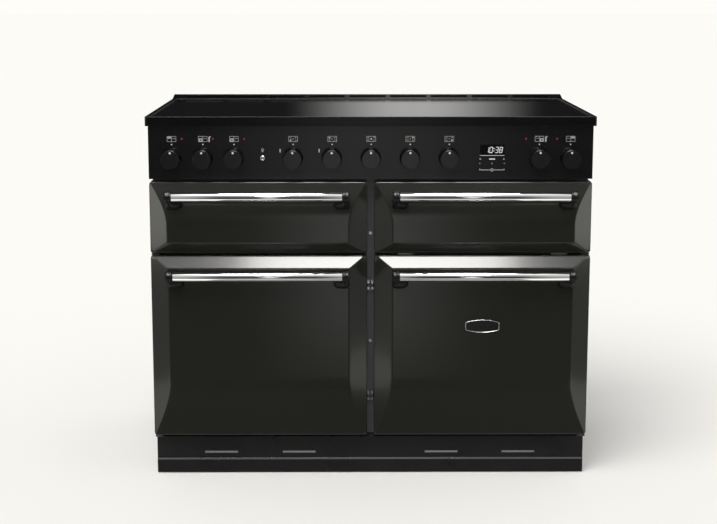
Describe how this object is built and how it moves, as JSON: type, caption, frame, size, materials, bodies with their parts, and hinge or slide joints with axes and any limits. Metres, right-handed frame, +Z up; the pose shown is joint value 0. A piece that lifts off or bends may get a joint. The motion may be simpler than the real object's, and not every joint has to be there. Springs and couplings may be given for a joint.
{
  "type": "induction range cooker",
  "caption": "Free-standing wide induction range cooker with side-hinged ovens, a drop-down slow oven door, a glide-out grill, turning knobs and bar handles.",
  "frame": {"origin": "centre of the floor rectangle under the whole cooker, handles included", "axes": "+Z up, +X to the right as seen from the front, the front faces -Y"},
  "size_m": [1.1, 0.67, 0.917],
  "materials": {
    "dark_enamel": "glossy vitreous enamel, dark pewter",
    "black_enamel": "satin black enamel",
    "oven_enamel": "glossy dark oven enamel",
    "galvanised": "galvanised sheet",
    "bright_chrome": "polished",
    "black_plastic": "knob gloss",
    "pale_plastic": "moulded switch bodies",
    "black_rubber": "seal",
    "red_lamp": "neon lens",
    "ceramic_glass": "black glass, opaque",
    "wire_chrome": "plated wire",
    "mineral_wool": "mineral wool wrap",
    "copper": "wound copper on aluminium",
    "steel": "zinc plated"
  },
  "bodies": {
    "cabinet": {"base_chassis": "galvanised", "levelling_feet": "black_plastic", "side_panel_left": "black_enamel", "side_panel_right": "black_enamel", "back_panel": "galvanised", "front_frame": "black_enamel", "plinth": "black_enamel", "oven_liner_left": "oven_enamel", "oven_liner_right": "oven_enamel", "grill_liner": "oven_enamel", "slow_oven_liner": "oven_enamel", "insulation": "mineral_wool", "door_seals": "black_rubber", "door_catches": "steel", "shelf_ladders": "wire_chrome", "oven_shelves": "wire_chrome", "fan_covers": "oven_enamel", "fan_motors": "steel", "heating_elements": "steel", "grill_runners": "steel", "door_hinges": "steel", "control_panel": "black_enamel", "control_switches": "pale_plastic", "clock_window": "ceramic_glass", "lamps": "red_lamp", "hob_surround": "black_enamel", "hob_glass": "ceramic_glass", "hob_tray": "galvanised", "induction_units": "copper", "terminal_box": "black_plastic"},
    "left_oven_door": {"oven_door_left": "dark_enamel", "inner_door_left": "oven_enamel", "handle_left": "bright_chrome"},
    "right_oven_door": {"oven_door_right": "dark_enamel", "inner_door_right": "oven_enamel", "handle_right": "bright_chrome", "badge_plate": "bright_chrome"},
    "grill_drawer": {"grill_front": "dark_enamel", "grill_handle": "bright_chrome", "grill_carriage": "steel", "grill_pan": "oven_enamel"},
    "slow_oven_door": {"slow_door": "dark_enamel", "inner_door_slow": "oven_enamel", "slow_handle": "bright_chrome"},
    "light_button": {"light_button": "bright_chrome"},
    "roller_left": {"roller_left": "black_plastic"},
    "roller_right": {"roller_right": "black_plastic"},
    "oven_fan_left": {"oven_fan_left": "steel"},
    "oven_fan_right": {"oven_fan_right": "steel"},
    "cooling_fan": {"cooling_fan": "black_plastic"},
    "knob_grill": {"knob_grill": "black_plastic"},
    "knob_left_function": {"knob_left_function": "black_plastic"},
    "knob_left_heat": {"knob_left_heat": "black_plastic"},
    "knob_zone_1": {"knob_zone_1": "black_plastic"},
    "knob_zone_2": {"knob_zone_2": "black_plastic"},
    "knob_zone_3": {"knob_zone_3": "black_plastic"},
    "knob_zone_4": {"knob_zone_4": "black_plastic"},
    "knob_zone_5": {"knob_zone_5": "black_plastic"},
    "knob_right_heat": {"knob_right_heat": "black_plastic"},
    "knob_slow_oven": {"knob_slow_oven": "black_plastic"}
  },
  "joints": [
    {"name": "left_oven_hinge", "type": "hinge", "parent": "cabinet", "child": "left_oven_door", "pos_m": [-0.5315, -0.249, 0.103], "axis": [0, 0, -1], "range_deg": [0, 100]},
    {"name": "right_oven_hinge", "type": "hinge", "parent": "cabinet", "child": "right_oven_door", "pos_m": [0.5315, -0.249, 0.103], "axis": [0, 0, 1], "range_deg": [0, 100]},
    {"name": "grill_slide", "type": "slide", "parent": "cabinet", "child": "grill_drawer", "axis": [0, -1, 0], "range_m": [0, 0.32]},
    {"name": "slow_oven_hinge", "type": "hinge", "parent": "cabinet", "child": "slow_oven_door", "pos_m": [0.276, -0.256, 0.567], "axis": [-1, 0, 0], "range_deg": [-90, 0]},
    {"name": "light_button_press", "type": "slide", "parent": "cabinet", "child": "light_button", "axis": [0, 1, 0], "range_m": [0, 0.003], "stiffness_N_per_m": 300},
    {"name": "roller_left_spin", "type": "hinge", "parent": "cabinet", "child": "roller_left", "pos_m": [-0.45, 0.25, 0.018], "axis": [1, 0, 0], "continuous": true},
    {"name": "roller_right_spin", "type": "hinge", "parent": "cabinet", "child": "roller_right", "pos_m": [0.45, 0.25, 0.018], "axis": [1, 0, 0], "continuous": true},
    {"name": "oven_fan_left_spin", "type": "hinge", "parent": "cabinet", "child": "oven_fan_left", "pos_m": [-0.276, 0.218, 0.3335], "axis": [0, 1, 0], "continuous": true},
    {"name": "oven_fan_right_spin", "type": "hinge", "parent": "cabinet", "child": "oven_fan_right", "pos_m": [0.276, 0.218, 0.3335], "axis": [0, 1, 0], "continuous": true},
    {"name": "cooling_fan_spin", "type": "hinge", "parent": "cabinet", "child": "cooling_fan", "pos_m": [0, 0.1985, 0.845], "axis": [0, 0, 1], "continuous": true},
    {"name": "knob_grill_turn", "type": "hinge", "parent": "cabinet", "child": "knob_grill", "pos_m": [-0.4875, -0.253, 0.806], "axis": [0, 1, 0], "range_deg": [0, 240]},
    {"name": "knob_left_function_turn", "type": "hinge", "parent": "cabinet", "child": "knob_left_function", "pos_m": [-0.4113, -0.253, 0.806], "axis": [0, 1, 0], "range_deg": [0, 300]},
    {"name": "knob_left_heat_turn", "type": "hinge", "parent": "cabinet", "child": "knob_left_heat", "pos_m": [-0.3351, -0.253, 0.806], "axis": [0, 1, 0], "range_deg": [0, 220]},
    {"name": "knob_zone_1_turn", "type": "hinge", "parent": "cabinet", "child": "knob_zone_1", "pos_m": [-0.1908, -0.253, 0.806], "axis": [0, 1, 0], "range_deg": [0, 270]},
    {"name": "knob_zone_2_turn", "type": "hinge", "parent": "cabinet", "child": "knob_zone_2", "pos_m": [-0.0954, -0.253, 0.806], "axis": [0, 1, 0], "range_deg": [0, 270]},
    {"name": "knob_zone_3_turn", "type": "hinge", "parent": "cabinet", "child": "knob_zone_3", "pos_m": [0, -0.253, 0.806], "axis": [0, 1, 0], "range_deg": [0, 270]},
    {"name": "knob_zone_4_turn", "type": "hinge", "parent": "cabinet", "child": "knob_zone_4", "pos_m": [0.0954, -0.253, 0.806], "axis": [0, 1, 0], "range_deg": [0, 270]},
    {"name": "knob_zone_5_turn", "type": "hinge", "parent": "cabinet", "child": "knob_zone_5", "pos_m": [0.1908, -0.253, 0.806], "axis": [0, 1, 0], "range_deg": [0, 270]},
    {"name": "knob_right_heat_turn", "type": "hinge", "parent": "cabinet", "child": "knob_right_heat", "pos_m": [0.4113, -0.253, 0.806], "axis": [0, 1, 0], "range_deg": [0, 220]},
    {"name": "knob_slow_oven_turn", "type": "hinge", "parent": "cabinet", "child": "knob_slow_oven", "pos_m": [0.4875, -0.253, 0.806], "axis": [0, 1, 0], "range_deg": [0, 220]}
  ]
}
